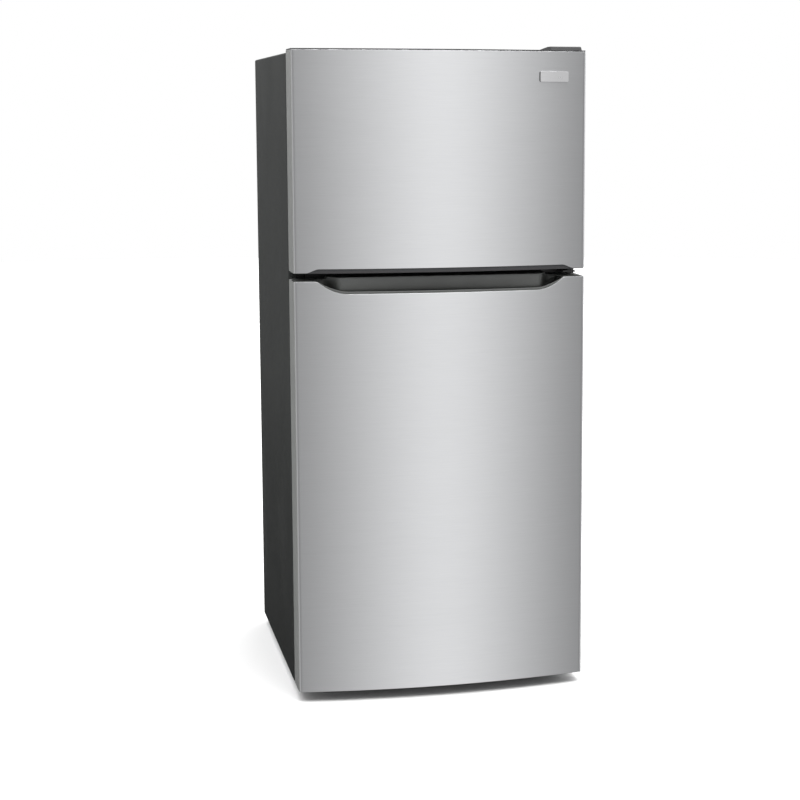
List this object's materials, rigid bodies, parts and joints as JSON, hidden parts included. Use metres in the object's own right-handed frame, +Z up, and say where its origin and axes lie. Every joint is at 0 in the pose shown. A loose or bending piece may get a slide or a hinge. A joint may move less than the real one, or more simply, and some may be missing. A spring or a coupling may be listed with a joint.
{
  "type": "top freezer refrigerator",
  "caption": "Free-standing top freezer refrigerator with bowed stainless doors, recessed pocket handles, shelves, drawers and door bins.",
  "frame": {"origin": "on the floor under the middle of the whole box", "axes": "+Z up, doors facing -Y, hinges on the +X side"},
  "size_m": [0.762, 0.813, 1.686],
  "materials": {
    "stainless": "satin",
    "charcoal_paint": "satin",
    "dark_plastic": "matte",
    "liner_white": "gloss",
    "clear_plastic": "gloss",
    "shelf_glass": "polished",
    "gasket_rubber": "matte",
    "foam": "matte",
    "zinc_steel": "satin",
    "black_steel": "satin",
    "aluminium": "satin",
    "badge_metal": "polished"
  },
  "bodies": {
    "cabinet": {"left_side_panel": "charcoal_paint", "right_side_panel": "charcoal_paint", "top_panel": "charcoal_paint", "back_panel": "charcoal_paint", "base_frame": "zinc_steel", "cabinet_foam": "foam", "freezer_liner": "liner_white", "fridge_liner": "liner_white", "mullion_rail": "charcoal_paint", "top_hinge_bracket": "zinc_steel", "top_hinge_cover": "dark_plastic", "centre_hinge_bracket": "zinc_steel", "bottom_hinge_bracket": "zinc_steel", "toe_grille": "dark_plastic", "machine_cover": "charcoal_paint", "evaporator_cover": "liner_white", "evaporator_fan_motor": "dark_plastic", "evaporator_coil": "aluminium", "compressor": "black_steel", "condenser_fan_motor": "black_steel", "condenser_coil": "black_steel", "drain_pan": "dark_plastic", "control_housing": "liner_white", "freezer_wire_shelf": "liner_white", "upper_shelf_frame": "liner_white", "upper_shelf_glass": "shelf_glass", "lower_shelf_frame": "liner_white", "lower_shelf_glass": "shelf_glass", "crisper_cover": "clear_plastic"},
    "freezer_door": {"freezer_door_skin": "stainless", "freezer_door_top_cap": "dark_plastic", "freezer_door_bottom_cap": "dark_plastic", "freezer_door_foam": "foam", "freezer_door_liner": "liner_white", "freezer_door_gasket": "gasket_rubber", "badge_plate": "badge_metal", "freezer_bin_upper": "clear_plastic", "freezer_bin_lower": "clear_plastic"},
    "fridge_door": {"fridge_door_skin": "stainless", "fridge_door_top_cap": "dark_plastic", "fridge_door_bottom_cap": "dark_plastic", "fridge_door_foam": "foam", "fridge_door_liner": "liner_white", "fridge_door_gasket": "gasket_rubber", "fridge_bin_lower": "clear_plastic", "fridge_bin_middle": "clear_plastic", "dairy_bin": "clear_plastic"},
    "dairy_lid": {"dairy_lid": "clear_plastic"},
    "crisper_left": {"crisper_left": "clear_plastic"},
    "crisper_right": {"crisper_right": "clear_plastic"},
    "humidity_slider_left": {"humidity_slider_left": "liner_white"},
    "humidity_slider_right": {"humidity_slider_right": "liner_white"},
    "temperature_knob": {"temperature_knob": "liner_white"},
    "light_switch_plunger": {"light_switch_plunger": "liner_white"},
    "evaporator_fan": {"evaporator_fan": "liner_white"},
    "condenser_fan": {"condenser_fan": "dark_plastic"},
    "rear_roller_left": {"rear_roller_left": "dark_plastic"},
    "rear_roller_right": {"rear_roller_right": "dark_plastic"},
    "levelling_leg_left": {"levelling_leg_left": "zinc_steel"},
    "levelling_leg_right": {"levelling_leg_right": "zinc_steel"}
  },
  "joints": [
    {"name": "freezer_door_hinge", "type": "hinge", "parent": "cabinet", "child": "freezer_door", "pos_m": [0.35, -0.335, 1.398], "axis": [0, 0, 1], "range_deg": [0, 125]},
    {"name": "fridge_door_hinge", "type": "hinge", "parent": "cabinet", "child": "fridge_door", "pos_m": [0.35, -0.335, 0.562], "axis": [0, 0, 1], "range_deg": [0, 125]},
    {"name": "dairy_lid_hinge", "type": "hinge", "parent": "fridge_door", "child": "dairy_lid", "pos_m": [0, -0.286, 0.935], "axis": [1, 0, 0], "range_deg": [0, 75]},
    {"name": "crisper_left_slide", "type": "slide", "parent": "cabinet", "child": "crisper_left", "axis": [0, -1, 0], "range_m": [0, 0.045]},
    {"name": "crisper_right_slide", "type": "slide", "parent": "cabinet", "child": "crisper_right", "axis": [0, -1, 0], "range_m": [0, 0.045]},
    {"name": "humidity_left_slide", "type": "slide", "parent": "crisper_left", "child": "humidity_slider_left", "axis": [1, 0, 0], "range_m": [0, 0.06]},
    {"name": "humidity_right_slide", "type": "slide", "parent": "crisper_right", "child": "humidity_slider_right", "axis": [1, 0, 0], "range_m": [0, 0.06]},
    {"name": "temperature_knob_turn", "type": "hinge", "parent": "cabinet", "child": "temperature_knob", "pos_m": [-0.07, -0.205, 1.053], "axis": [0, 1, 0], "range_deg": [-135, 135]},
    {"name": "light_switch_press", "type": "slide", "parent": "cabinet", "child": "light_switch_plunger", "axis": [0, 1, 0], "range_m": [0, 0.004], "stiffness_N_per_m": 200},
    {"name": "evaporator_fan_spin", "type": "hinge", "parent": "cabinet", "child": "evaporator_fan", "pos_m": [0, 0.303, 1.5], "axis": [0, 1, 0], "continuous": true},
    {"name": "condenser_fan_spin", "type": "hinge", "parent": "cabinet", "child": "condenser_fan", "pos_m": [0.04, 0.306, 0.12], "axis": [0, 1, 0], "continuous": true},
    {"name": "rear_roller_left_spin", "type": "hinge", "parent": "cabinet", "child": "rear_roller_left", "pos_m": [-0.3, 0.36, 0.018], "axis": [1, 0, 0], "continuous": true},
    {"name": "rear_roller_right_spin", "type": "hinge", "parent": "cabinet", "child": "rear_roller_right", "pos_m": [0.3, 0.36, 0.018], "axis": [1, 0, 0], "continuous": true},
    {"name": "levelling_leg_left_turn", "type": "hinge", "parent": "cabinet", "child": "levelling_leg_left", "pos_m": [-0.296, -0.246, 0.022], "axis": [0, 0, 1], "continuous": true},
    {"name": "levelling_leg_right_turn", "type": "hinge", "parent": "cabinet", "child": "levelling_leg_right", "pos_m": [0.296, -0.246, 0.022], "axis": [0, 0, 1], "continuous": true}
  ]
}
